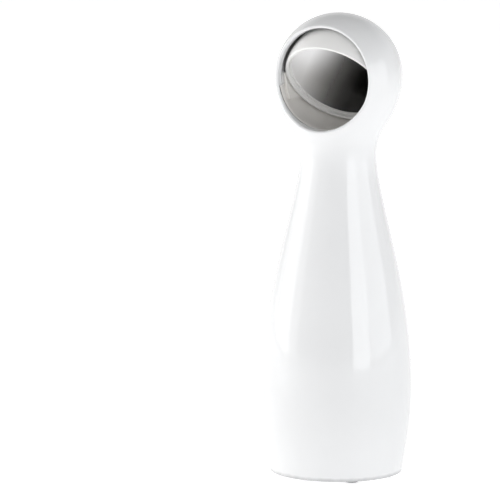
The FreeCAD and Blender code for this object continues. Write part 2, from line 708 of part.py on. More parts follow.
# contacts: two bridges on the door, one bridge and two tags under the roof
ct = D("contact_thick")
node("door_contact_plates", group("door_contact_plates", [
    box("door_contact_front", (25.0, 10.4, ct), (-12.5, -12.6, D("contact_level"))),
    box("door_contact_rear", (25.0, 10.4, ct), (-12.5, 2.2, D("contact_level")))]))
roof_bridge = box("roof_bridge", (10.4, 25.0, ct), (2.2, -12.5, z_top_contact))
tag_a = fuse("roof_tag_front", [
    box("roof_tag_front_plate", (10.4, 10.3, ct), (-12.6, -12.6, z_top_contact)),
    box("roof_tag_front_tongue", (2.6, 0.4, 4.6), (-8.9, -12.6, z_top_contact))])
tag_b = fuse("roof_tag_rear", [
    box("roof_tag_rear_plate", (10.4, 10.3, ct), (-12.6, 2.3, z_top_contact)),
    box("roof_tag_rear_tongue", (2.6, 0.4, 4.6), (-8.9, 12.2, z_top_contact))])
node("roof_contact_plates", group("roof_contact_plates", [roof_bridge, tag_a, tag_b]))


def coil(x, y, z, height):
    """Contact spring: short tangent arcs that climb round the axis, each a piece of an exact torus."""
    wire_r, coil_r, turns, per_turn = 0.35, 3.4, 3.5, 8
    rise = height - 2 * wire_r - 0.04
    count = int(turns * per_turn)
    corner_r = coil_r / math.cos(math.pi / per_turn)
    pts = [Vector(corner_r * math.cos(2 * math.pi * k / per_turn), corner_r * math.sin(2 * math.pi * k / per_turn),
                  rise * k / count) for k in range(count + 1)]
    at = pts[0]
    walls = []
    for i in range(1, count):
        a, b, c2 = pts[i - 1], pts[i], pts[i + 1]
        u = (b - a).normalize()
        v = (c2 - b).normalize()
        turn = u.getAngle(v)
        t = 0.46 * (b - a).Length
        p, q = b - u * t, b + v * t
        r = t / math.tan(turn / 2)
        centre = b + (v - u).normalize() * (r / math.cos(turn / 2))
        axis = u.cross(v).normalize()
        run = Part.Face(Part.Wire(Part.makeCircle(wire_r, at, u))).extrude(p - at)
        walls += [f for f in run.Faces if f.Surface.TypeId == "Part::GeomCylinder"]
        bend = Part.Face(Part.Wire(Part.makeCircle(wire_r, p, u))).revolve(centre, axis, math.degrees(turn))
        walls += [f for f in bend.Faces if f.Surface.TypeId == "Part::GeomToroid"]
        at = q
    v = (pts[-1] - at).normalize()
    run = Part.Face(Part.Wire(Part.makeCircle(wire_r, at, v))).extrude(pts[-1] - at)
    walls += [f for f in run.Faces if f.Surface.TypeId == "Part::GeomCylinder"]
    u = (pts[1] - pts[0]).normalize()
    ends = [Part.Face(Part.Wire(Part.makeCircle(wire_r, pts[0], u))), Part.Face(Part.Wire(Part.makeCircle(wire_r, pts[-1], v)))]
    skin = Part.Shell(walls + ends)
    skin.sewShape()
    body = Part.Solid(skin)
    if body.Volume < 0:
        body.reverse()
    body.translate(Vector(x, y, z + wire_r + 0.02))
    return body


def feature(label, shape, keep=True):
    o = doc.addObject("Part::Feature", label)
    o.Shape = shape
    if keep:
        node(label, o)
    return o


c = cs.value
L = D("spring_length").value
zd = z_door_contact.value
feature("door_springs", Part.makeCompound([
    coil(-c, -c, zd, L), coil(c, c, zd, L)]))
feature("roof_springs", Part.makeCompound([
    coil(c, -c, z_top_contact.value - L, L), coil(-c, c, z_top_contact.value - L, L)]))

# ---- motor -------------------------------------------------------------------

mx, my = D("motor_across"), D("motor_front")
m_can = common("motor_can_block", [
    cyl("motor_can_round", D("motor_radius"), D("motor_top") - D("motor_cap_top"), (mx, my, D("motor_cap_top"))),
    box("motor_can_flats", (D("motor_radius") * 2, D("motor_half") * 2, D("motor_top") - D("motor_cap_top")),
        (mx - D("motor_radius"), my - D("motor_half"), D("motor_cap_top")))])
m_nose = cyl("motor_nose", 3.0, 1.6, (mx, my, D("motor_top")))
m_holes = fuse("motor_can_holes", [
    cyl("motor_bore", D("running_hole"), 40.0, (mx, my, 70.0)),
    cyl("motor_screw_hole_a", 0.9, 3.0, (mx + 6.2, my, D("motor_top") - 3.0)),
    cyl("motor_screw_hole_b", 0.9, 3.0, (mx - 6.2, my, D("motor_top") - 3.0))])
node("motor_can", cut("motor_can", fuse("motor_can_whole", [m_can, m_nose]), m_holes))
e_cap = common("motor_cap_block", [
    cyl("motor_cap_round", D("motor_radius") - 0.2, D("motor_cap_top") - D("motor_bottom"), (mx, my, D("motor_bottom"))),
    box("motor_cap_flats", (D("motor_radius") * 2, D("motor_half") * 2 - 0.4, D("motor_cap_top") - D("motor_bottom")),
        (mx - D("motor_radius"), my - D("motor_half") + 0.2, D("motor_bottom")))])
end_cap = cut("motor_end_cap_block",
              fuse("motor_cap_whole", [e_cap, cyl("motor_cap_nose", 2.6, 1.0, (mx, my, D("motor_bottom") - 1.0))]),
              cyl("motor_cap_bore", D("running_hole"), 40.0, (mx, my, 60.0)))
node("motor_end_cap", group("motor_end_cap", [
    end_cap,
    box("motor_tag_a", (2.0, 0.4, 3.4), (mx + 4.6, my - 0.2, D("motor_bottom") - 3.4)),
    box("motor_tag_b", (2.0, 0.4, 3.4), (mx - 6.6, my - 0.2, D("motor_bottom") - 3.4))]))
node("motor_shaft", cyl("motor_shaft", D("shaft_radius"), 106.3 - 73.2, (mx, my, 73.2)))
node("motor_screws", group("motor_screws", [
    screw("motor_screw_a", (mx + 6.2, my, deck_top), "-z", 1.6, 1.1, 0.9, 4.2),
    screw("motor_screw_b", (mx - 6.2, my, deck_top), "-z", 1.6, 1.1, 0.9, 4.2)]))

# ---- gears -------------------------------------------------------------------

MODULE = D("gear_module").value
PRESSURE = math.radians(25.0)
ADDENDUM = 0.85
DEDENDUM = 1.15
THIN = 0.09


def gear_face(teeth, phase, module=MODULE):
    """Involute gear outline, one tooth centred on the direction 'phase' (degrees)."""
    rp = module * teeth / 2.0
    rb = rp * math.cos(PRESSURE)
    ra = rp + ADDENDUM * module
    rf = rp - DEDENDUM * module
    r0 = max(rb, rf + 0.02)
    inv_p = math.tan(PRESSURE) - PRESSURE
    half = math.pi / (2 * teeth) - THIN / (2 * rp)

    def reach(r):
        a = math.acos(min(1.0, rb / r))
        return half + inv_p - (math.tan(a) - a)

    def pt(r, ang):
        return Vector(r * math.cos(ang), r * math.sin(ang), 0)

    step = 2 * math.pi / teeth
    radii = [r0 + (ra - r0) * k / 4.0 for k in range(5)]
    edges = []
    th0 = reach(r0)
    for i in range(teeth):
        mid = math.radians(phase) + i * step
        a0 = pt(rf, mid - th0)
        if r0 - rf > 1e-6:
            edges.append(Part.LineSegment(a0, pt(r0, mid - th0)).toShape())
        rise = Part.BSplineCurve()
        rise.interpolate([pt(r, mid - reach(r)) for r in radii])
        edges.append(rise.toShape())
        edges.append(Part.Arc(pt(ra, mid - reach(ra)), pt(ra, mid), pt(ra, mid + reach(ra))).toShape())
        fall = Part.BSplineCurve()
        fall.interpolate([pt(r, mid + reach(r)) for r in reversed(radii)])
        edges.append(fall.toShape())
        if r0 - rf > 1e-6:
            edges.append(Part.LineSegment(pt(r0, mid + th0), pt(rf, mid + th0)).toShape())
        edges.append(Part.Arc(pt(rf, mid + th0), pt(rf, mid + step / 2), pt(rf, mid + step - th0)).toShape())
    return Part.Face(Part.Wire(edges))


def gear(teeth, phase, z0, width, x, y):
    g = gear_face(teeth, phase).extrude(Vector(0, 0, width))
    g.translate(Vector(x, y, z0))
    return g


def tube(r_out, r_in, z0, hgt, x=0.0, y=0.0):
    t = Part.makeCylinder(r_out, hgt, Vector(x, y, z0))
    if r_in > 0:
        t = t.cut(Part.makeCylinder(r_in, hgt + 2, Vector(x, y, z0 - 1)))
    return t


def mesh_phase(teeth_a, phase_a, ax, ay, teeth_b, bx, by):
    """Phase of gear b so that it is in mesh with gear a."""
    line = math.degrees(math.atan2(by - ay, bx - ax))
    a = (line - phase_a) / (360.0 / teeth_a)
    return line + 180.0 - (0.5 - a) * 360.0 / teeth_b


Z10 = int(D("pinion_teeth").value)
Z42 = int(D("idler_teeth").value)
Z12 = int(D("idler_pinion_teeth").value)
Z38 = int(D("layshaft_teeth").value)
ZLP = int(D("lower_pinion_teeth").value)
ZLR = int(D("lower_ring_teeth").value)
ZUP = int(D("upper_pinion_teeth").value)
ZUR = int(D("upper_ring_teeth").value)
LX, LY = 0.0, D("layshaft_spot").value
IX, IY = D("idler_across").value, D("idler_back").value
MX, MY = D("motor_across").value, D("motor_front").value
SHAFT = D("shaft_radius").value
RUN = D("running_hole").value

ph_lay = 90.0
ph_idp = mesh_phase(Z38, ph_lay, LX, LY, Z12, IX, IY)
ph_idw = ph_idp
ph_mot = mesh_phase(Z42, ph_idw, IX, IY, Z10, MX, MY)
ph_lp = 0.0
ph_lr = mesh_phase(ZLP, ph_lp, LX, LY, ZLR, 0.0, 0.0)
ph_up = 10.0
ph_ur = mesh_phase(ZUP, ph_up, LX, LY, ZUR, 0.0, 0.0)

feature("motor_pinion", gear(Z10, ph_mot, 103.4, 2.9, MX, MY).cut(
    Part.makeCylinder(SHAFT, 10, Vector(MX, MY, 100))))
idler = gear(Z42, ph_idw, 103.7, 2.4, IX, IY)
web = tube(8.9, 3.6, 103.0, 1.3, IX, IY).fuse(tube(8.9, 3.6, 105.5, 1.3, IX, IY))
idler = idler.cut(web)
idler = idler.fuse(gear(Z12, ph_idp, 106.1, 4.1, IX, IY))
idler = idler.fuse(Part.makeCylinder(2.3, 1.3, Vector(IX, IY, 102.4)))
idler = idler.fuse(Part.makeCylinder(2.0, 1.0, Vector(IX, IY, 110.2)))
feature("idler_gear", idler.cut(Part.makeCylinder(RUN, 20, Vector(IX, IY, 98))))
drive = gear(Z38, ph_lay, 106.9, 2.8, LX, LY)
drive = drive.cut(tube(8.0, 3.4, 106.0, 1.6, LX, LY)).cut(tube(8.0, 3.4, 109.0, 1.6, LX, LY))
drive = drive.fuse(Part.makeCylinder(2.4, 0.6, Vector(LX, LY, 106.35)))
drive = drive.fuse(Part.makeCylinder(2.4, 1.3, Vector(LX, LY, 109.7)))
feature("drive_shaft_gear", drive.cut(Part.makeCylinder(SHAFT, 20, Vector(LX, LY, 98))))
feature("lower_pinion", gear(ZLP, ph_lp, 139.9, 3.8, LX, LY).cut(
    Part.makeCylinder(SHAFT, 20, Vector(LX, LY, 130))))
feature("upper_pinion", gear(ZUP, ph_up, 149.1, 3.3, LX, LY).cut(
    Part.makeCylinder(SHAFT, 20, Vector(LX, LY, 140))))
node("drive_shaft", cyl("drive_shaft", D("shaft_radius"), 155.4 - 100.4, (0, D("layshaft_spot"), 100.4)))
node("idler_axle", cyl("idler_axle", D("shaft_radius"), 113.4 - 100.0, (D("idler_across"), D("idler_back"), 100.0)))

JR = D("journal_radius").value
PR = D("prism_radius").value
low_ring = gear(ZLR, ph_lr, 140.3, 3.0, 0, 0).fuse(Part.makeCylinder(6.9, 7.3, Vector(0, 0, 138.3)))
low_ring = low_ring.fuse(Part.makeCylinder(JR, 2.0, Vector(0, 0, 136.4))).fuse(
    Part.makeCylinder(JR, 1.2, Vector(0, 0, 145.5)))
feature("lower_prism_gear", low_ring.cut(Part.makeCylinder(PR, 30, Vector(0, 0, 130))).fuse(
    tube(PR + 0.2, PR - 0.7, 138.3, 0.7)))
up_ring = gear(ZUR, ph_ur, 149.3, 2.8, 0, 0).fuse(Part.makeCylinder(6.9, 5.7, Vector(0, 0, 147.9)))
up_ring = up_ring.fuse(Part.makeCylinder(JR, 1.2, Vector(0, 0, 146.9))).fuse(
    Part.makeCylinder(JR, 2.1, Vector(0, 0, 153.4)))
feature("upper_prism_gear", up_ring.cut(Part.makeCylinder(PR, 30, Vector(0, 0, 135))).fuse(
    tube(PR + 0.2, PR - 0.7, 147.9, 0.7)))


def wedge(z0, lean_towards):
    """Glass disc with one leaning face, which bends the beam a little."""
    disc = Part.makeCylinder(PR, 3.4, Vector(0, 0, z0))
    lean = D("prism_lean").value
    plane = Part.makeBox(30, 30, 10, Vector(-15, -15, 0))
    plane.rotate(Vector(0, 0, 0), Vector(0, 1, 0), lean)
    plane.rotate(Vector(0, 0, 0), Vector(0, 0, 1), lean_towards)
    plane.translate(Vector(0, 0, z0 + 2.4))
    return disc.cut(plane)


feature("lower_prism", wedge(139.0, 0.0))
feature("upper_prism", wedge(148.6, 140.0))

# ---- decks of the drive -------------------------------------------------------

POSTS = ((13.5, 3.5), (-12.5, -12.0), (-14.5, 14.5))
deck = new_body("drive_deck")
s = new_sketch(deck, "deck_sketch", "XY_Plane", D("deck_level"))
ring(s, D("deck_radius"))
pad(deck, "deck_disc", s, D("deck_thick"))
s = new_sketch(deck, "post_sketch", "XY_Plane", deck_top)
for px, py in POSTS:
    ring(s, 2.2, (px, py))
pad(deck, "deck_stands", s, D("cover_level") - deck_top)
s = new_sketch(deck, "deck_holes_sketch", "XY_Plane", D("deck_level"))
ring(s, 3.05, (mx, my))
ring(s, D("shaft_radius"), (D("idler_across"), D("idler_back")))
ring(s, D("running_hole"), (0, D("layshaft_spot")))
ring(s, 1.1, (mx + 6.2, my))
ring(s, 1.1, (mx - 6.2, my))
ring(s, 2.2, (21.5, -2.0))
for ang in (30.0, 180.0, 290.0):
    ca, sa = math.cos(math.radians(ang)), math.sin(math.radians(ang))
    ring(s, 1.2, (D("deck_boss_spot") * ca, D("deck_boss_spot") * sa))
pocket(deck, "deck_hole_set", s, 5.0, back=True)
s = new_sketch(deck, "stand_holes_sketch", "XY_Plane", D("cover_level"))
for px, py in POSTS:
    ring(s, 0.9, (px, py))
pocket(deck, "stand_holes", s, 6.0)
s = new_sketch(deck, "deck_notch_sketch", "XY_Plane", D("deck_level"))
rect(s, -7.0, 22.6, 7.0, 30.0)
pocket(deck, "deck_notch", s, 5.0, back=True)

cover = new_body("drive_cover")
s = new_sketch(cover, "cover_sketch", "XY_Plane", D("cover_level"))
ring(s, D("cover_radius"))
pad(cover, "cover_disc", s, 2.0)
s = new_sketch(cover, "cover_lobe_sketch", "XY_Plane", D("cover_level"))
ring(s, 3.4, POSTS[2])
pad(cover, "cover_lobe", s, 2.0)
s = new_sketch(cover, "cover_holes_sketch", "XY_Plane", D("cover_level"))
for px, py in POSTS:
    ring(s, 1.1, (px, py))
ring(s, D("shaft_radius"), (D("idler_across"), D("idler_back")))
ring(s, D("running_hole"), (0, D("layshaft_spot")))
ring(s, 1.0, (11.4, -3.6))
ring(s, 1.0, (-11.4, -3.6))
pocket(cover, "cover_hole_set", s, 5.0, back=True)

s = new_sketch(cover, "cover_notch_sketch", "XY_Plane", D("cover_level"))
rect(s, 15.2, -5.4, 22.0, 1.6)
pocket(cover, "cover_notch", s, 5.0, back=True)

node("drive_cover_screws", group("drive_cover_screws", [
    screw("cover_screw_%d" % i, (px, py, D("cover_level") + 2.0), "-z", 1.7, 1.1, 0.9, 6.0)
    for i, (px, py) in enumerate(POSTS)]))
deck_screws = []
for i, ang in enumerate((30.0, 180.0, 290.0)):
    ca, sa = math.cos(math.radians(ang)), math.sin(math.radians(ang))
    deck_screws.append(screw("deck_screw_%d" % i, (D("deck_boss_spot") * ca, D("deck_boss_spot") * sa,
                                                   D("deck_level")), "z", 1.9, 1.2, 1.0, 8.0))
node("drive_deck_screws", group("drive_deck_screws", deck_screws))

# ---- optics tower ---------------------------------------------------------------

ps = D("post_spot")
tower = new_body("optics_tower")
s = new_sketch(tower, "tower_flange_sketch", "XY_Plane", D("cover_level") + 2.0)
ring(s, 14.4)
pad(tower, "tower_flange", s, 2.0)
s = new_sketch(tower, "tower_tube_sketch", "XY_Plane", D("cover_level") + 4.0)
ring(s, D("tower_radius"))
pad(tower, "tower_tube", s, 138.0 - (D("cover_level") + 4.0))
s = new_sketch(tower, "tower_stage_sketch", "XY_Plane", 136.0)
ring(s, D("stage_radius"))
pad(tower, "tower_stage", s, 2.0)
s = new_sketch(tower, "tower_post_sketch", "XY_Plane", 138.0)
ring(s, D("post_radius"), (ps, 0))
ring(s, D("post_radius"), (-ps, 0))
pad(tower, "tower_posts", s, 8.0)
s = new_sketch(tower, "tower_bore_sketch", "XY_Plane", D("cover_level") + 2.0)
ring(s, D("tower_bore"))
pocket(tower, "tower_bore_cut", s, 136.0 - (D("cover_level") + 2.0), back=True)
s = new_sketch(tower, "tower_journal_sketch", "XY_Plane", 139.0)
ring(s, D("journal_hole"))
pocket(tower, "tower_journal", s, 5.0)
s = new_sketch(tower, "tower_shaft_sketch", "XY_Plane", 139.0)
ring(s, D("running_hole"), (0, D("layshaft_spot")))
pocket(tower, "tower_shaft_hole", s, 5.0)
s = new_sketch(tower, "tower_flange_holes_sketch", "XY_Plane", D("cover_level") + 4.5)
ring(s, 1.6, (0, D("layshaft_spot")))
ring(s, 1.1, (11.4, -3.6))
ring(s, 1.1, (-11.4, -3.6))
pocket(tower, "tower_flange_holes", s, 3.0)
s = new_sketch(tower, "tower_relief_sketch", "XY_Plane", D("cover_level") + 4.5)
ring(s, 2.6, POSTS[0])
pocket(tower, "tower_relief", s, 3.0)
s = new_sketch(tower, "tower_post_hole_sketch", "XY_Plane", 146.0)
ring(s, 0.9, (ps, 0))
ring(s, 0.9, (-ps, 0))
pocket(tower, "tower_post_holes", s, 7.0)
s = new_sketch(tower, "tower_lead_sketch", "YZ_Plane")
rect(s, -1.8, D("cover_level") + 2.0, 1.8, D("cover_level") + 5.2)
pocket(tower, "tower_lead_slot", s, 20.0, back=True)

mid = new_body("optics_mid_plate")
s = new_sketch(mid, "mid_sketch", "XY_Plane", 146.0)
ring(s, D("stage_radius"))
pad(mid, "mid_disc", s, 1.6)
s = new_sketch(mid, "mid_post_sketch", "XY_Plane", 147.6)
ring(s, D("post_radius"), (ps, 0))
ring(s, D("post_radius"), (-ps, 0))
pad(mid, "mid_posts", s, 6.4)
s = new_sketch(mid, "mid_hole_sketch", "XY_Plane", 155.0)
ring(s, D("journal_hole"))
ring(s, D("running_hole"), (0, D("layshaft_spot")))
ring(s, 1.0, (ps, 0))
ring(s, 1.0, (-ps, 0))
pocket(mid, "mid_holes", s, 12.0)

cap = new_body("optics_cap")
s = new_sketch(cap, "cap_sketch", "XY_Plane", 154.0)
ring(s, 15.4)
pad(cap, "cap_disc", s, 2.0)
s = new_sketch(cap, "cap_hole_sketch", "XY_Plane", 157.0)
ring(s, D("journal_hole"))
ring(s, D("running_hole"), (0, D("layshaft_spot")))
ring(s, 1.0, (ps, 0))
ring(s, 1.0, (-ps, 0))
pocket(cap, "cap_holes", s, 5.0)

node("optics_screws", group("optics_screws", [
    screw("optics_screw_a", (ps, 0, 156.0), "-z", 1.8, 1.1, 0.9, 15.0),
    screw("optics_screw_b", (-ps, 0, 156.0), "-z", 1.8, 1.1, 0.9, 15.0)]))
node("tower_screws", group("tower_screws", [
    screw("tower_screw_a", (11.4, -3.6, D("cover_level") + 4.0), "-z", 1.7, 1.0, 1.0, 3.9),
    screw("tower_screw_b", (-11.4, -3.6, D("cover_level") + 4.0), "-z", 1.7, 1.0, 1.0, 3.9)]))

# ---- laser ------------------------------------------------------------------------

zl = D("laser_bottom")
lr = D("laser_radius")
barrel = cut("laser_barrel", cyl("laser_barrel_blank", lr, D("laser_length"), (0, 0, zl)),
             fuse("laser_barrel_holes", [
                 cyl("laser_lens_seat", 2.2, 1.8, (0, 0, zl + D("laser_length") - 1.8)),
                 cyl("laser_throat", 1.5, 5.0, (0, 0, zl + D("laser_length") - 6.0)),
                 cyl("laser_tail_bore", 2.8, 2.0, (0, 0, zl))]))
node("laser_barrel", barrel)
node("laser_lens", common("laser_lens", [
    cyl("laser_lens_disc", 2.2, 1.6, (0, 0, zl + D("laser_length") - 1.8)),
    ball("laser_lens_dome", 4.2, (0, 0, zl + D("laser_length") - 4.4))]))
node("laser_driver_board", fuse("laser_driver_board", [
    cyl("driver_disc", 2.75, 1.0, (0, 0, zl + 0.6)),
    box("driver_chip", (2.4, 1.8, 0.9), (-1.2, -0.9, zl - 0.3))]))
clamp_cut = fuse("clamp_cut", [
    cyl("clamp_bore", lr, 10.0, (0, 0, 119.0)),
    box("clamp_split", (1.2, 9.0, 10.0), (-0.6, -9.0, 119.0))])
node("laser_clamp", cut("laser_clamp", cyl("laser_clamp_blank", D("tower_bore"), 6.0, (0, 0, 121.0)), clamp_cut))

# ---- socket bowl, window, pivots -----------------------------------------------

zc = D("head_level")
bowl_shell = cut("bowl_ball", ball("bowl_ball_outer", D("bowl_outer"), (0, 0, zc)),
                 ball("bowl_ball_inner", D("head_bore"), (0, 0, zc)))
bowl_low = common("bowl_low", [bowl_shell, box("bowl_low_box", (80.0, 80.0, 40.0), (-40.0, -40.0, zc - D("socket_rim") - 0.1 - 40.0))])
ear_zone = cut("ear_zone", ball("ear_zone_outer", D("ear_outer"), (0, 0, zc)),
               ball("ear_zone_inner", D("ear_inner"), (0, 0, zc)))
ear_low_zone = cut("ear_low_zone", ball("ear_low_outer", D("head_bore") + 0.2, (0, 0, zc)),
                   ball("ear_low_inner", D("ear_inner"), (0, 0, zc)))
ears = common("ears", [ear_zone, fuse("ear_slab", [
    box("ear_slab_box", (80.0, D("ear_width"), 12.8), (-40.0, D("ear_width") / -2.0, zc - 12.0)),
    cyl("ear_slab_hub", D("ear_hub"), 80.0, (-40.0, 0, zc), "x")])])
ear_feet = common("ear_feet", [ear_low_zone,
    box("ear_feet_box", (80.0, D("ear_width"), 5.6), (-40.0, D("ear_width") / -2.0, zc - 12.0))])
sides = fuse("ear_sides", [box("ear_side_right", (20.0, 40.0, 40.0), (15.0, -20.0, zc - 20.0)),
                           box("ear_side_left", (20.0, 40.0, 40.0), (-35.0, -20.0, zc - 20.0))])
ears_ok = common("ears_sides_only", [fuse("ears_all", [ears, ear_feet]), sides])
bowl_cuts = fuse("bowl_cuts", [
    cyl("bowl_mouth", D("mouth_radius"), 40.0, (0, 0, zc), "-y"),
    cyl("bowl_well_bore", D("well_bore"), 60.0, (0, 0, zc), "-z"),
    cone("bowl_well_edge", D("well_bore"), D("well_bore") + 1.0, 1.0, (0, 0, 169.1)),
    cyl("bowl_window_seat", D("window_radius"), D("window_thick") + 2.0, (0, 0, D("well_bottom") - 2.0)),
    cyl("bowl_pin_holes", D("pivot_pin"), 80.0, (-40.0, 0, zc), "x")])
bowl_well = cyl("bowl_well", D("well_outer"), 169.2 - D("well_bottom"), (0, 0, D("well_bottom")))
node("socket_bowl", cut("socket_bowl", fuse("bowl_whole", [bowl_low, ears_ok, bowl_well]), bowl_cuts))
node("laser_window", cyl("laser_window", D("window_radius") - 0.02, D("window_thick"), (0, 0, D("well_bottom"))))
node("pivot_pins", group("pivot_pins", [
    cyl("pivot_pin_right", D("pivot_pin"), 28.05 - 24.7, (24.7, 0, zc), "x"),
    cyl("pivot_pin_left", D("pivot_pin"), 28.05 - 24.7, (-24.7, 0, zc), "-x")]))

# ---- mirror carrier, in its own frame: +Z leaves the mirror face ----------------

tilt = Rotation(Vector(1, 0, 0), 180.0 - D("mirror_rest_angle").value)
carrier = new_body("mirror_carrier")
s = new_sketch(carrier, "carrier_section", "XZ_Plane")
ro, ri, lip = D("carrier_outer"), D("carrier_inner"), D("carrier_lip")
ledge = D("mirror_face") - D("mirror_thick")
under = ledge - 1.4
outline(
    s,
    [(0, -ro, "x"), (math.sqrt(ro.value ** 2 - lip.value ** 2), lip, "y"),
     (math.sqrt(ri.value ** 2 - lip.value ** 2), lip, "y"),
     (math.sqrt(ri.value ** 2 - ledge.value ** 2), ledge, "y"), (22.6, ledge, "xy"), (22.6, under, "xy"),
     (math.sqrt(ri.value ** 2 - under.value ** 2), under, "y"), (0, -ri, "x")],
    arcs={0: (0, 0, ro, 1), 2: (0, 0, ri, -1), 6: (0, 0, ri, -1)})
c_turn = turn_solid(carrier, "carrier_turn", s)
s = new_sketch(carrier, "pivot_sketch", "YZ_Plane", 24.5)
ring(s, D("pivot_hole"))
pocket(carrier, "pivot_right", s, 6.0, back=True)
s = new_sketch(carrier, "pivot_sketch_left", "YZ_Plane", -24.5)
ring(s, D("pivot_hole"))
c_last = pocket(carrier, "pivot_left", s, 6.0)
round_edges(carrier, "lip_round", c_last, 0.55,
            lambda e: abs(e.BoundBox.ZMin - lip.value) < 1e-3 and abs(e.BoundBox.ZMax - lip.value) < 1e-3
            and e.Length > 40)
carrier.Placement = Placement(Vector(0, 0, zc.value), tilt)
carrier.setExpression("Placement.Base.z", zc.text)

mirror_up = tilt.multVec(Vector(0, 0, ledge.value))
mir = cyl("mirror", D("mirror_radius"), D("mirror_thick"))
mir.Placement = Placement(Vector(0, mirror_up.y, zc.value + mirror_up.z), tilt)
node("mirror", mir)

face = D("mirror_face").value
ring_out = Part.makeCylinder(24.9, 0.6, Vector(0, 0, face)).cut(Part.makeCylinder(24.1, 3, Vector(0, 0, face - 1)))
for sgn in (1, -1):
    # pry slots, seven to thirty-eight degrees from the lowest point
    a0, a1 = math.radians(7.0), math.radians(38.0)
    wedge_pts = [Vector(0, 0, face - 1)]
    for k in range(9):
        a = a0 + (a1 - a0) * k / 8.0
        wedge_pts.append(Vector(sgn * 30 * math.sin(a), 30 * math.cos(a), face - 1))
    wedge_pts.append(wedge_pts[0])
    w = Part.Face(Part.makePolygon(wedge_pts)).extrude(Vector(0, 0, 3))
    w = w.common(Part.makeCylinder(24.55, 5, Vector(0, 0, face - 1)))
    ring_out = ring_out.cut(w)
retainer = feature("mirror_retainer", ring_out)
retainer.Placement = Placement(Vector(0, 0, zc.value), tilt)

node("neck_screws", group("neck_screws", [
    screw("neck_screw_a", (14.6, 7.5, 168.0), "-y", 2.0, 1.3, 1.1, 11.0),
    screw("neck_screw_b", (-14.6, 7.5, 168.0), "-y", 2.0, 1.3, 1.1, 11.0)]))

# ---- circuit board, switch and button --------------------------------------------

bf, bt, bh = D("board_front"), D("board_thick"), D("board_half")
board = new_body("main_board")
s = new_sketch(board, "board_sketch", "XZ_Plane", -bf)
rect(s, -bh, D("board_bottom"), bh, D("board_top"))
pad(board, "board_slab", s, bt, back=True)
s = new_sketch(board, "board_holes_sketch", "XZ_Plane", -(bf - 1.0))
ring(s, 1.2, (9.2, 71.0))
ring(s, 1.2, (-9.2, 71.0))
pocket(board, "board_hole_pair", s, 6.0)
node("board_screws", group("board_screws", [
    screw("board_screw_a", (9.2, bf, 71.0), "y", 1.9, 1.1, 1.0, 8.0),
    screw("board_screw_b", (-9.2, bf, 71.0), "y", 1.9, 1.1, 1.0, 8.0)]))
node("board_components", group("board_components", [
    box("board_chip", (6.0, 1.6, 5.0), (-3.0, bf - 1.6, 74.0)),
    cyl("board_capacitor", 2.5, 7.0, (6.6, bf, 80.5), "-y"),
    box("board_crystal", (2.2, 2.4, 6.0), (-8.4, bf - 2.4, 77.0))]))
CONN = ((-7.6, 87.5), (7.6, 90.0), (-0.4, 90.5))
conns = []
for i, (cx, cz) in enumerate(CONN):
    shell = box("connector_block_%d" % i, (5.0, 4.6, 4.4), (cx - 2.5, bf - 4.6, cz - 2.2))
    cavity = box("connector_bay_%d" % i, (4.0, 3.6, 3.4), (cx - 2.0, bf - 4.7, cz - 1.7))
    conns.append(cut("connector_%d" % i, shell, cavity))
node("board_connectors", group("board_connectors", conns))

rear = bf + bt
zb = D("button_level")
node("switch_case", cut("switch_case", box("switch_block", (6.0, 3.5, 6.0), (-3.0, rear, zb - 3.0)),
                        cyl("switch_bore", 1.75, 1.4, (0, rear + 2.1, zb), "y")))
node("switch_plunger", cyl("switch_plunger", 1.65, 1.5, (0, rear + 3.0, zb), "y"))
R_TOP = outer_radius(96.0) + 0.6
R_BOT = outer_radius(84.0) + 0.6
btn_cap = common("button_cap_block", [
    cone("button_face_cone", R_BOT, R_TOP, 12.0, (0, 0, zb - 6.0)),
    cyl("button_barrel", D("button_radius"), 20.0, (0, 26.6, zb), "y")])
btn_flange = cyl("button_flange", 7.2, 1.2, (0, 26.6, zb), "y")
btn_stem = cyl("button_stem", 1.5, 0.95, (0, 25.7, zb), "y")
node("power_button", fuse("power_button", [btn_cap, btn_flange, btn_stem]))

# ---- leads inside the body ----------------------------------------------------------


def lead(points, radius):
    """Round wire along straight runs joined by tangent arcs, each as large as its runs allow."""
    pts = [Vector(*p) for p in points]
    edges = []
    at = pts[0]
    radii = []
    for i in range(1, len(pts) - 1):
        a, b, c2 = pts[i - 1], pts[i], pts[i + 1]
        u = (b - a).normalize()
        v = (c2 - b).normalize()
        turn = u.getAngle(v)
        run = min((b - a).Length, (c2 - b).Length)
        t = 0.45 * run
        r = t / math.tan(turn / 2)
        radii.append(round(r, 2))
        p = b - u * t
        q = b + v * t
        # middle of the arc
        bis = (v - u).normalize()
        centre = b + bis * (r / math.cos(turn / 2))
        m = centre - bis * r
        edges.append(Part.LineSegment(at, p).toShape())
        edges.append(Part.Arc(p, m, q).toShape())
        at = q
    edges.append(Part.LineSegment(at, pts[-1]).toShape())
    path = Part.Wire(edges)
    first = (pts[1] - pts[0]).normalize()
    section = Part.Wire(Part.makeCircle(radius, pts[0], first))
    body = path.makePipeShell([section], True, False)
    want = math.pi * radius ** 2 * path.Length
    print("lead", radii, "volume ratio %.4f" % (body.Volume / want))
    return body


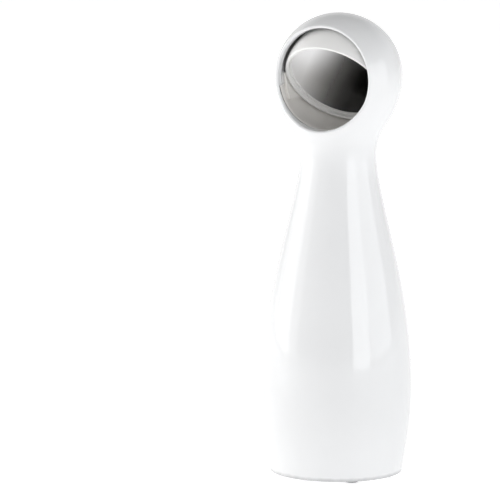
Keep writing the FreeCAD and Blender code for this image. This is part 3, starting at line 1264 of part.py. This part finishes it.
W = D("lead_radius").value
z_tag = z_top_contact.value + 4.6
feature("battery_leads", Part.makeCompound([
    lead([(-7.6, -13.6, z_tag - 1.2), (-9.5, -13.6, z_tag + 5.5), (-14.5, -5.0, z_tag + 13.0), (-13.6, 6.0, 80.5),
          (-8.7, 10.5, 87.0), (-8.7, 16.4, 87.5)], W),
    lead([(-7.6, 13.3, z_tag - 1.2), (-7.9, 12.8, z_tag + 4.5), (-7.4, 10.6, z_tag + 12.0), (-6.4, 10.4, 85.2), (-6.5, 16.4, 87.5)], W)]))
feature("motor_leads", Part.makeCompound([
    lead([(MX + 5.6, MY + 0.8, 72.6), (MX + 7.4, MY + 4.5, 70.2), (9.6, 2.0, 72.0), (10.6, 7.6, 79.0), (8.7, 9.6, 88.6), (8.7, 16.4, 90.0)], W),
    lead([(MX - 5.6, MY + 0.8, 72.6), (MX - 3.0, MY + 6.0, 69.0), (3.4, 1.0, 70.6), (7.0, 6.2, 77.0), (6.5, 9.4, 88.4), (6.5, 16.4, 90.0)], W)]))
feature("laser_leads", Part.makeCompound([
    lead([(2.0, 0.75, 114.9), (17.0, 0.75, 114.9), (21.5, -1.25, 106.0), (21.5, -1.25, 96.2), (12.0, 6.5, 90.5), (0.9, 8.0, 90.5), (0.7, 16.4, 90.5)], W),
    lead([(2.0, -0.75, 114.9), (17.0, -0.75, 114.9), (21.5, -2.75, 106.0), (21.5, -2.75, 94.8), (11.0, 4.6, 89.0), (-1.0, 6.4, 89.5), (-1.5, 16.4, 90.5)], W)]))

# ---- checks and export ----------------------------------------------------------------

doc.recompute()
bad = []
for o in doc.Objects:
    states = [str(x) for x in o.State]
    if "Invalid" in states or "Error" in states:
        bad.append("%s %s" % (o.Name, states))
for label, obj in NODES:
    sh = obj.Shape
    if sh.isNull() or not sh.isValid():
        bad.append(label + " shape")
    elif len(sh.Solids) < 1:
        bad.append(label + " has no solid")
if bad:
    for b in bad:
        print("BAD", b)
    raise SystemExit(1)

os.makedirs("parts", exist_ok=True)
for label, obj in NODES:
    obj.Shape.exportStep(os.path.join("parts", label + ".step"))
print(len(NODES), "nodes written")
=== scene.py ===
import math

import bpy
from mathutils import Matrix, Vector

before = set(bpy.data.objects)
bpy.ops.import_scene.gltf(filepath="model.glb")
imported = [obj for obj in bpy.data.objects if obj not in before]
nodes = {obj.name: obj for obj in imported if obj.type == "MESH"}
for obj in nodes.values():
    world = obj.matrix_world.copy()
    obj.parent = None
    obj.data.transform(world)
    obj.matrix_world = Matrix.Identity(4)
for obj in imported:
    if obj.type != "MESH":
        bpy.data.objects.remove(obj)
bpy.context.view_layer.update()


# ---------------------------------------------------------------- materials
def linear(r, g, b):
    """Linear colour from display values 0 to 255."""
    def one(v):
        v /= 255.0
        return v / 12.92 if v <= 0.04045 else ((v + 0.055) / 1.055) ** 2.4
    return (one(r), one(g), one(b), 1.0)


class Mat:
    """A material whose nodes are laid out by short calls."""

    def __init__(self, name):
        self.m = bpy.data.materials.new(name)
        self.m.use_nodes = True
        self.t = self.m.node_tree
        self.t.nodes.clear()
        self.out = self.new("ShaderNodeOutputMaterial")
        self.p = self.new("ShaderNodeBsdfPrincipled")
        self.link(self.p.outputs["BSDF"], self.out.inputs["Surface"])
        self.co = self.new("ShaderNodeTexCoord").outputs["Object"]

    def new(self, kind):
        return self.t.nodes.new(kind)

    def link(self, a, b):
        self.t.links.new(a, b)

    def set(self, **values):
        for k, v in values.items():
            self.p.inputs[k.replace("_", " ")].default_value = v

    def mapped(self, scale=(1, 1, 1), rotation=(0, 0, 0)):
        n = self.new("ShaderNodeMapping")
        n.inputs["Scale"].default_value = scale
        n.inputs["Rotation"].default_value = rotation
        self.link(self.co, n.inputs["Vector"])
        return n.outputs["Vector"]

    def noise(self, scale, detail=3.0, rough=0.5, co=None, distortion=0.0):
        n = self.new("ShaderNodeTexNoise")
        n.inputs["Scale"].default_value = scale
        n.inputs["Detail"].default_value = detail
        n.inputs["Roughness"].default_value = rough
        n.inputs["Distortion"].default_value = distortion
        self.link(co if co is not None else self.co, n.inputs["Vector"])
        return n.outputs["Fac"]

    def voronoi(self, scale, feature="F1", co=None, rand=1.0):
        n = self.new("ShaderNodeTexVoronoi")
        n.feature = feature
        n.inputs["Scale"].default_value = scale
        n.inputs["Randomness"].default_value = rand
        self.link(co if co is not None else self.co, n.inputs["Vector"])
        return n.outputs["Distance"]

    def wave(self, scale, distortion=0.0, direction="X", co=None):
        n = self.new("ShaderNodeTexWave")
        n.bands_direction = direction
        n.inputs["Scale"].default_value = scale
        n.inputs["Distortion"].default_value = distortion
        self.link(co if co is not None else self.co, n.inputs["Vector"])
        return n.outputs["Fac"]

    def remap(self, value, a, b, c, d):
        n = self.new("ShaderNodeMapRange")
        for k, v in zip(("From Min", "From Max", "To Min", "To Max"), (a, b, c, d)):
            n.inputs[k].default_value = v
        self.link(value, n.inputs["Value"])
        return n.outputs["Result"]

    def maths(self, op, a, b):
        n = self.new("ShaderNodeMath")
        n.operation = op
        for i, v in enumerate((a, b)):
            if isinstance(v, (int, float)):
                n.inputs[i].default_value = v
            else:
                self.link(v, n.inputs[i])
        return n.outputs[0]

    def ramp(self, value, stops):
        n = self.new("ShaderNodeValToRGB")
        e = n.color_ramp.elements
        while len(e) < len(stops):
            e.new(0.5)
        for s, (at, colour) in zip(e, stops):
            s.position = at
            s.color = colour
        self.link(value, n.inputs["Fac"])
        return n.outputs["Color"]

    def colour(self, socket):
        self.link(socket, self.p.inputs["Base Color"])

    def rough(self, socket):
        self.link(socket, self.p.inputs["Roughness"])

    def bump(self, height, distance, strength=1.0, after=None):
        n = self.new("ShaderNodeBump")
        n.inputs["Strength"].default_value = strength
        n.inputs["Distance"].default_value = distance
        self.link(height, n.inputs["Height"])
        if after is not None:
            self.link(after, n.inputs["Normal"])
        self.link(n.outputs["Normal"], self.p.inputs["Normal"])
        return n.outputs["Normal"]


def tint(c, k):
    return (c[0] * k, c[1] * k, c[2] * k, 1.0)


def moulded(name, base, rough=(0.10, 0.17), orange=2.2e-6, grain=None, spread=0.02,
            smudge=True, ior=1.5, subsurface=0.0, specular=0.5, painted_foot_shade=False):
    """Injection-moulded plastic: faint cloudiness, a polished skin with smudges, and a slight orange peel."""
    m = Mat(name)
    m.set(IOR=ior)
    m.p.inputs["Specular IOR Level"].default_value = specular
    if subsurface:
        m.set(Subsurface_Weight=subsurface, Subsurface_Scale=0.0015)
        m.p.inputs["Subsurface Radius"].default_value = (1.0, 0.85, 0.7)
    cloud = m.noise(38.0, 4.0, 0.55)
    skin = m.ramp(cloud, [(0.30, tint(base, 1 - spread)), (0.70, base)])
    if painted_foot_shade:
        # painted shade: the colour darkens over the lowest two millimetres of the foot, in place of the shadow in the
        # gap under the base
        xyz = m.new("ShaderNodeSeparateXYZ")
        m.link(m.co, xyz.inputs[0])
        painted_shade = m.remap(m.maths("ADD", xyz.outputs["Z"], m.remap(m.noise(240.0, 3.0), 0.3, 0.7, -0.0003, 0.0003)),
                       0.0010, 0.0032, 0.58, 1.0)
        hsv = m.new("ShaderNodeHueSaturation")
        m.link(skin, hsv.inputs["Color"])
        m.link(painted_shade, hsv.inputs["Value"])
        skin = hsv.outputs["Color"]
    m.colour(skin)
    r = m.remap(m.noise(26.0, 5.0, 0.62, distortion=0.6), 0.35, 0.70, rough[0], rough[1])
    if smudge:
        fine = m.remap(m.noise(900.0, 2.0, 0.5), 0.60, 0.78, 0.0, 0.05)
        r = m.maths("ADD", r, fine)
    m.rough(r)
    n = m.bump(m.noise(420.0, 2.0, 0.45), orange)
    if grain:
        m.bump(m.noise(grain[0], 3.0, 0.6), grain[1], after=n)
    return m.m


def metal(name, base, rough=(0.22, 0.36), brush=(1, 1, 8), scale=900.0, painted_reflection_ramp=3e-6):
    m = Mat(name)
    m.set(Metallic=1.0)
    co = m.mapped(scale=brush)
    streak = m.noise(scale, 4.0, 0.6, co=co)
    m.colour(m.ramp(m.noise(160.0, 3.0), [(0.3, tint(base, 0.86)), (0.7, base)]))
    m.rough(m.remap(streak, 0.3, 0.7, rough[0], rough[1]))
    m.bump(streak, painted_reflection_ramp)
    return m.m


WHITE = linear(238, 239, 240)
# the shell's foot gets painted shade along its lowest edge
shell_white = moulded("gloss_white_abs", (0.77, 0.775, 0.783, 1.0), rough=(0.06, 0.10), specular=0.85, painted_foot_shade=True)
dome_white = moulded("satin_white_abs", (0.83, 0.825, 0.815, 1.0), rough=(0.28, 0.38), orange=3e-6)
bowl_white = moulded("bowl_warm_white", (0.85, 0.83, 0.80, 1.0), rough=(0.30, 0.42), orange=3e-6)
base_grey = moulded("base_grey_abs", (0.72, 0.725, 0.73, 1.0), rough=(0.34, 0.5), orange=2e-6, grain=(1800.0, 1.2e-5))

mats = {}
steel = metal("zinc_plated_steel", (0.66, 0.67, 0.69, 1.0))
nickel = metal("nickel_plate", (0.70, 0.66, 0.60, 1.0), rough=(0.14, 0.26))
brass = metal("brass", (0.72, 0.52, 0.26, 1.0))
motor_steel = metal("motor_can_steel", (0.56, 0.57, 0.59, 1.0), rough=(0.26, 0.4), brush=(1, 1, 0.2))


def mirror_mat():
    """Silvered glass with a painted reflection: the base colour runs from bright at the high left side to near black
    at the low right side, standing in for the dark inside of the head seen in it.
    """
    m = Mat("silvered_mirror")
    m.set(Metallic=1.0)
    xyz = m.new("ShaderNodeSeparateXYZ")
    m.link(m.co, xyz.inputs[0])
    across = m.maths("MULTIPLY", xyz.outputs["X"], -25.1)
    along = m.maths("ADD", m.maths("MULTIPLY", xyz.outputs["Y"], -11.67), m.maths("MULTIPLY", xyz.outputs["Z"], 12.97))
    painted_reflection_ramp = m.maths("ADD", m.maths("ADD", across, along), -2.241)
    cloud = m.remap(m.noise(60.0, 2.0), 0.3, 0.7, -0.012, 0.012)
    stops = [(0.02, 0.055), (0.18, 0.12), (0.36, 0.28), (0.56, 0.62), (0.80, 0.95)]
    # painted reflection: base colour along the ramp, bright at upper left and near black at lower right
    m.colour(m.ramp(m.maths("ADD", painted_reflection_ramp, cloud), [(at, (v, v, v * 1.005, 1)) for at, v in stops]))
    dust = m.remap(m.voronoi(700.0), 0.0, 0.10, 0.10, 0.0)
    film = m.maths("ADD", m.remap(m.noise(45.0, 5.0, 0.65, distortion=0.8), 0.4, 0.75, 0.0, 0.05), m.remap(painted_reflection_ramp, 0.25, 0.80, 0.18, 0.62))
    m.rough(m.maths("ADD", film, dust))
    m.bump(m.noise(90.0, 2.0), 1.5e-7)
    return m.m


def window_mat():
    m = Mat("smoked_acrylic")
    m.set(IOR=1.49)
    m.colour(m.ramp(m.noise(80.0, 2.0), [(0.3, (0.004, 0.003, 0.004, 1)), (0.7, (0.010, 0.006, 0.007, 1))]))
    m.rough(m.remap(m.noise(60.0, 5.0, 0.6), 0.35, 0.7, 0.05, 0.14))
    m.bump(m.noise(300.0, 2.0), 8e-7)
    return m.m


def rubber_mat():
    m = Mat("grey_rubber")
    m.colour(m.ramp(m.noise(500.0, 4.0), [(0.3, (0.24, 0.242, 0.246, 1)), (0.7, (0.32, 0.322, 0.326, 1))]))
    m.rough(m.remap(m.noise(1400.0, 3.0), 0.3, 0.7, 0.6, 0.85))
    m.bump(m.noise(2600.0, 4.0, 0.6), 2.5e-5)
    return m.m


def board_mat():
    m = Mat("green_laminate")
    weave = m.maths("MULTIPLY", m.wave(900.0, direction="X"), m.wave(900.0, direction="Z"))
    m.colour(m.ramp(weave, [(0.2, (0.010, 0.085, 0.030, 1)), (0.8, (0.016, 0.125, 0.045, 1))]))
    m.rough(m.remap(m.noise(300.0, 3.0), 0.3, 0.7, 0.22, 0.36))
    m.bump(weave, 4e-6)
    return m.m


def cell_mat():
    """A plain dark sleeve round a dry cell, with a faint cloudy variation in tone."""
    m = Mat("cell_sleeve")
    m.colour(m.ramp(m.noise(220.0, 3.0), [(0.3, (0.020, 0.024, 0.030, 1)), (0.7, (0.035, 0.040, 0.048, 1))]))
    m.rough(m.remap(m.noise(160.0, 4.0), 0.3, 0.7, 0.22, 0.38))
    m.bump(m.noise(700.0, 2.0), 3e-6)
    return m.m


def clear_mat():
    m = Mat("clear_acrylic")
    m.set(IOR=1.49, Transmission_Weight=0.92)
    m.colour(m.ramp(m.noise(90.0, 2.0), [(0.3, (0.90, 0.92, 0.93, 1)), (0.7, (0.96, 0.97, 0.98, 1))]))
    m.rough(m.remap(m.noise(140.0, 3.0), 0.3, 0.7, 0.02, 0.06))
    m.bump(m.noise(300.0, 2.0), 5e-7)
    return m.m


mirror_m, window_m, rubber_m, board_m, cell_m, clear_m = (
    mirror_mat(), window_mat(), rubber_mat(), board_mat(), cell_mat(), clear_mat())
pom = moulded("natural_acetal", (0.78, 0.76, 0.70, 1.0), rough=(0.30, 0.42), orange=2e-6)
black_pl = moulded("black_nylon", (0.018, 0.018, 0.020, 1.0), rough=(0.34, 0.5), orange=3e-6, grain=(2000.0, 8e-6))
dark_pl = moulded("dark_grey_abs", (0.060, 0.062, 0.066, 1.0), rough=(0.34, 0.5), orange=3e-6, grain=(2000.0, 8e-6))
box_pl = moulded("inner_white_abs", (0.62, 0.62, 0.61, 1.0), rough=(0.36, 0.5), orange=3e-6, grain=(1800.0, 8e-6))
wire_red = moulded("red_wire_pvc", (0.42, 0.018, 0.015, 1.0), rough=(0.34, 0.46), orange=3e-6)

FINISH = {
    "body_shell": shell_white, "head_front_shell": shell_white, "head_rear_shell": shell_white,
    "power_button": dark_pl,
    "mirror_carrier": dome_white, "pivot_pins": dome_white, "mirror_retainer": dome_white,
    "socket_bowl": bowl_white, "laser_window": window_m, "mirror": mirror_m,
    "base_plate": base_grey, "battery_door": base_grey, "rubber_feet": rubber_m,
    "battery_box": box_pl, "drive_deck": box_pl, "drive_cover": box_pl,
    "optics_tower": black_pl, "optics_mid_plate": black_pl, "optics_cap": black_pl,
    "laser_clamp": black_pl, "laser_barrel": brass, "laser_lens": clear_m,
    "lower_prism": clear_m, "upper_prism": clear_m,
    "lower_prism_gear": pom, "upper_prism_gear": pom, "lower_pinion": pom, "upper_pinion": pom,
    "idler_gear": pom, "drive_shaft_gear": pom, "motor_pinion": brass,
    "drive_shaft": steel, "idler_axle": steel, "motor_shaft": steel,
    "motor_can": motor_steel, "motor_end_cap": black_pl,
    "main_board": board_m, "laser_driver_board": board_m, "board_components": black_pl,
    "board_connectors": box_pl, "switch_case": black_pl, "switch_plunger": box_pl,
    "aa_cells": cell_m, "battery_leads": wire_red, "motor_leads": wire_red, "laser_leads": wire_red,
    "door_springs": nickel, "roof_springs": nickel, "door_contact_plates": nickel, "roof_contact_plates": nickel,
}
for name, obj in nodes.items():
    if name.endswith("_screws"):
        m = steel
    else:
        m = FINISH.get(name)
        if m is None:
            print("NO FINISH", name)
            m = dark_pl
    obj.data.materials.clear()
    obj.data.materials.append(m)

# ---------------------------------------------------------------- stage
def plane(name, size, z, mat):
    me = bpy.data.meshes.new(name)
    s = size
    me.from_pydata([(-s, -s, z), (s, -s, z), (s, s, z), (-s, s, z)], [], [(0, 1, 2, 3)])
    o = bpy.data.objects.new(name, me)
    bpy.context.scene.collection.objects.link(o)
    o.data.materials.append(mat)
    return o


fm = Mat("pale_floor")
fm.colour(fm.ramp(fm.noise(3.0, 2.0), [(0.3, (0.90, 0.90, 0.90, 1)), (0.7, (0.92, 0.92, 0.92, 1))]))
fm.set(Roughness=0.6, Emission_Strength=0.53)
fm.p.inputs["Emission Color"].default_value = (1.0, 1.0, 1.0, 1.0)
floor = plane("floor", 12.0, -0.00005, fm.m)

# ---------------------------------------------------------------- camera
D, EL, AZ = 2.2, math.radians(8.7), math.radians(28.5)
aim = Vector((0, 0, 0.112))
loc = aim + D * Vector((math.cos(EL) * math.sin(AZ), -math.cos(EL) * math.cos(AZ), math.sin(EL)))
F_PX = 4472.4
f0 = (aim - loc).normalized()
r0 = f0.cross(Vector((0, 0, 1))).normalized()
u0 = r0.cross(f0)
ROLL = math.radians(0.43)
r1 = r0 * math.cos(ROLL) + u0 * math.sin(ROLL)
u1 = -r0 * math.sin(ROLL) + u0 * math.cos(ROLL)
f2 = (f0 * F_PX - r1 * 87.6 - u1 * 2.4).normalized()
r2 = (r1 - f2 * r1.dot(f2)).normalized()
u2 = r2.cross(f2)
cam_data = bpy.data.cameras.new("camera")
cam_data.sensor_width = 36.0
cam_data.sensor_fit = "HORIZONTAL"
cam_data.lens = F_PX * 36.0 / 500.0
cam_data.clip_start = 0.05
cam_data.clip_end = 60.0
cam = bpy.data.objects.new("camera", cam_data)
bpy.context.scene.collection.objects.link(cam)
cam.matrix_world = Matrix((
    (r2.x, u2.x, -f2.x, loc.x), (r2.y, u2.y, -f2.y, loc.y), (r2.z, u2.z, -f2.z, loc.z), (0, 0, 0, 1)))
bpy.context.scene.camera = cam

# ---------------------------------------------------------------- light
c_dir = Vector((math.sin(AZ), -math.cos(AZ), 0))
r_dir = Vector((math.cos(AZ), math.sin(AZ), 0))


def panel(name, angle, dist, width, height, z, radiance, colour=(1, 1, 1), at=0.11):
    """A soft panel, angle degrees right of the camera seen from the object. Its face looks at the object."""
    a = math.radians(angle)
    d = c_dir * math.cos(a) + r_dir * math.sin(a)
    pos = d * dist + Vector((0, 0, z))
    data = bpy.data.lights.new(name, "AREA")
    data.shape = "RECTANGLE"
    data.size, data.size_y = width, height
    data.energy = radiance * width * height * math.pi
    data.color = colour
    o = bpy.data.objects.new(name, data)
    bpy.context.scene.collection.objects.link(o)
    o.location = pos
    o.rotation_mode = "QUATERNION"
    o.rotation_quaternion = (Vector((0, 0, at)) - pos).to_track_quat("-Z", "Y")
    o.visible_camera = False
    return o


PANELS = {
    # name: angle, distance, width, height, level, radiance, colour
    "right_key": (39, 1.2, 0.60, 0.54, 0.28, 1.80, (0.97, 0.985, 1.0)),
    "right_side": (75, 1.2, 1.00, 0.60, 0.33, 1.00, (0.97, 0.985, 1.0)),
    "left_side": (-98, 1.1, 0.70, 0.9, 0.45, 1.18, (1.0, 0.995, 0.985)),
    "left_wide": (-98, 1.2, 1.60, 0.9, 0.45, 0.68, (1.0, 0.995, 0.985)),
}
for name, (angle, dist, width, height, level, radiance, colour) in PANELS.items():
    panel(name, angle, dist, width, height, level, radiance, colour)
low = panel("left_low", -82, 0.6, 0.35, 0.12, 0.07, 3.2, (1.0, 0.995, 0.985), at=0.05)
low.visible_glossy = False

# a snooted lamp from the right that reaches the inside of the head's opening
snoot = bpy.data.lights.new("snoot", "SPOT")
snoot.energy = 34.0
snoot.spot_size = math.radians(4.8)
snoot.spot_blend = 1.0
snoot.shadow_soft_size = 0.12
snoot_o = bpy.data.objects.new("snoot", snoot)
bpy.context.scene.collection.objects.link(snoot_o)
snoot_at = Vector((-0.019, -0.012, 0.186))
sa = math.radians(14)
snoot_o.location = (c_dir * math.cos(sa) + r_dir * math.sin(sa)) * 1.1 + Vector((0, 0, 0.26))
snoot_o.visible_glossy = False
snoot_o.rotation_mode = "QUATERNION"
snoot_o.rotation_quaternion = (snoot_at - snoot_o.location).to_track_quat("-Z", "Y")

world = bpy.data.worlds.new("studio")
bpy.context.scene.world = world
world.use_nodes = True
wt = world.node_tree
wt.nodes.clear()
wo = wt.nodes.new("ShaderNodeOutputWorld")
wb = wt.nodes.new("ShaderNodeBackground")
wc = wt.nodes.new("ShaderNodeTexCoord")
ws = wt.nodes.new("ShaderNodeSeparateXYZ")
wr = wt.nodes.new("ShaderNodeValToRGB")
wt.links.new(wc.outputs["Generated"], ws.inputs[0])
wt.links.new(ws.outputs["Z"], wr.inputs["Fac"])
SKY = [(0.0, 0.76), (0.333, 0.79), (0.667, 0.28), (1.0, 0.60)]
el = wr.color_ramp.elements
while len(el) < len(SKY):
    el.new(0.5)
for e, (at, v) in zip(el, SKY):
    e.position = at
    e.color = (v, v, v, 1)
wt.links.new(wr.outputs["Color"], wb.inputs["Color"])
wt.links.new(wb.outputs[0], wo.inputs[0])
wb.inputs["Strength"].default_value = 1.0

bpy.context.scene.view_settings.view_transform = "Standard"
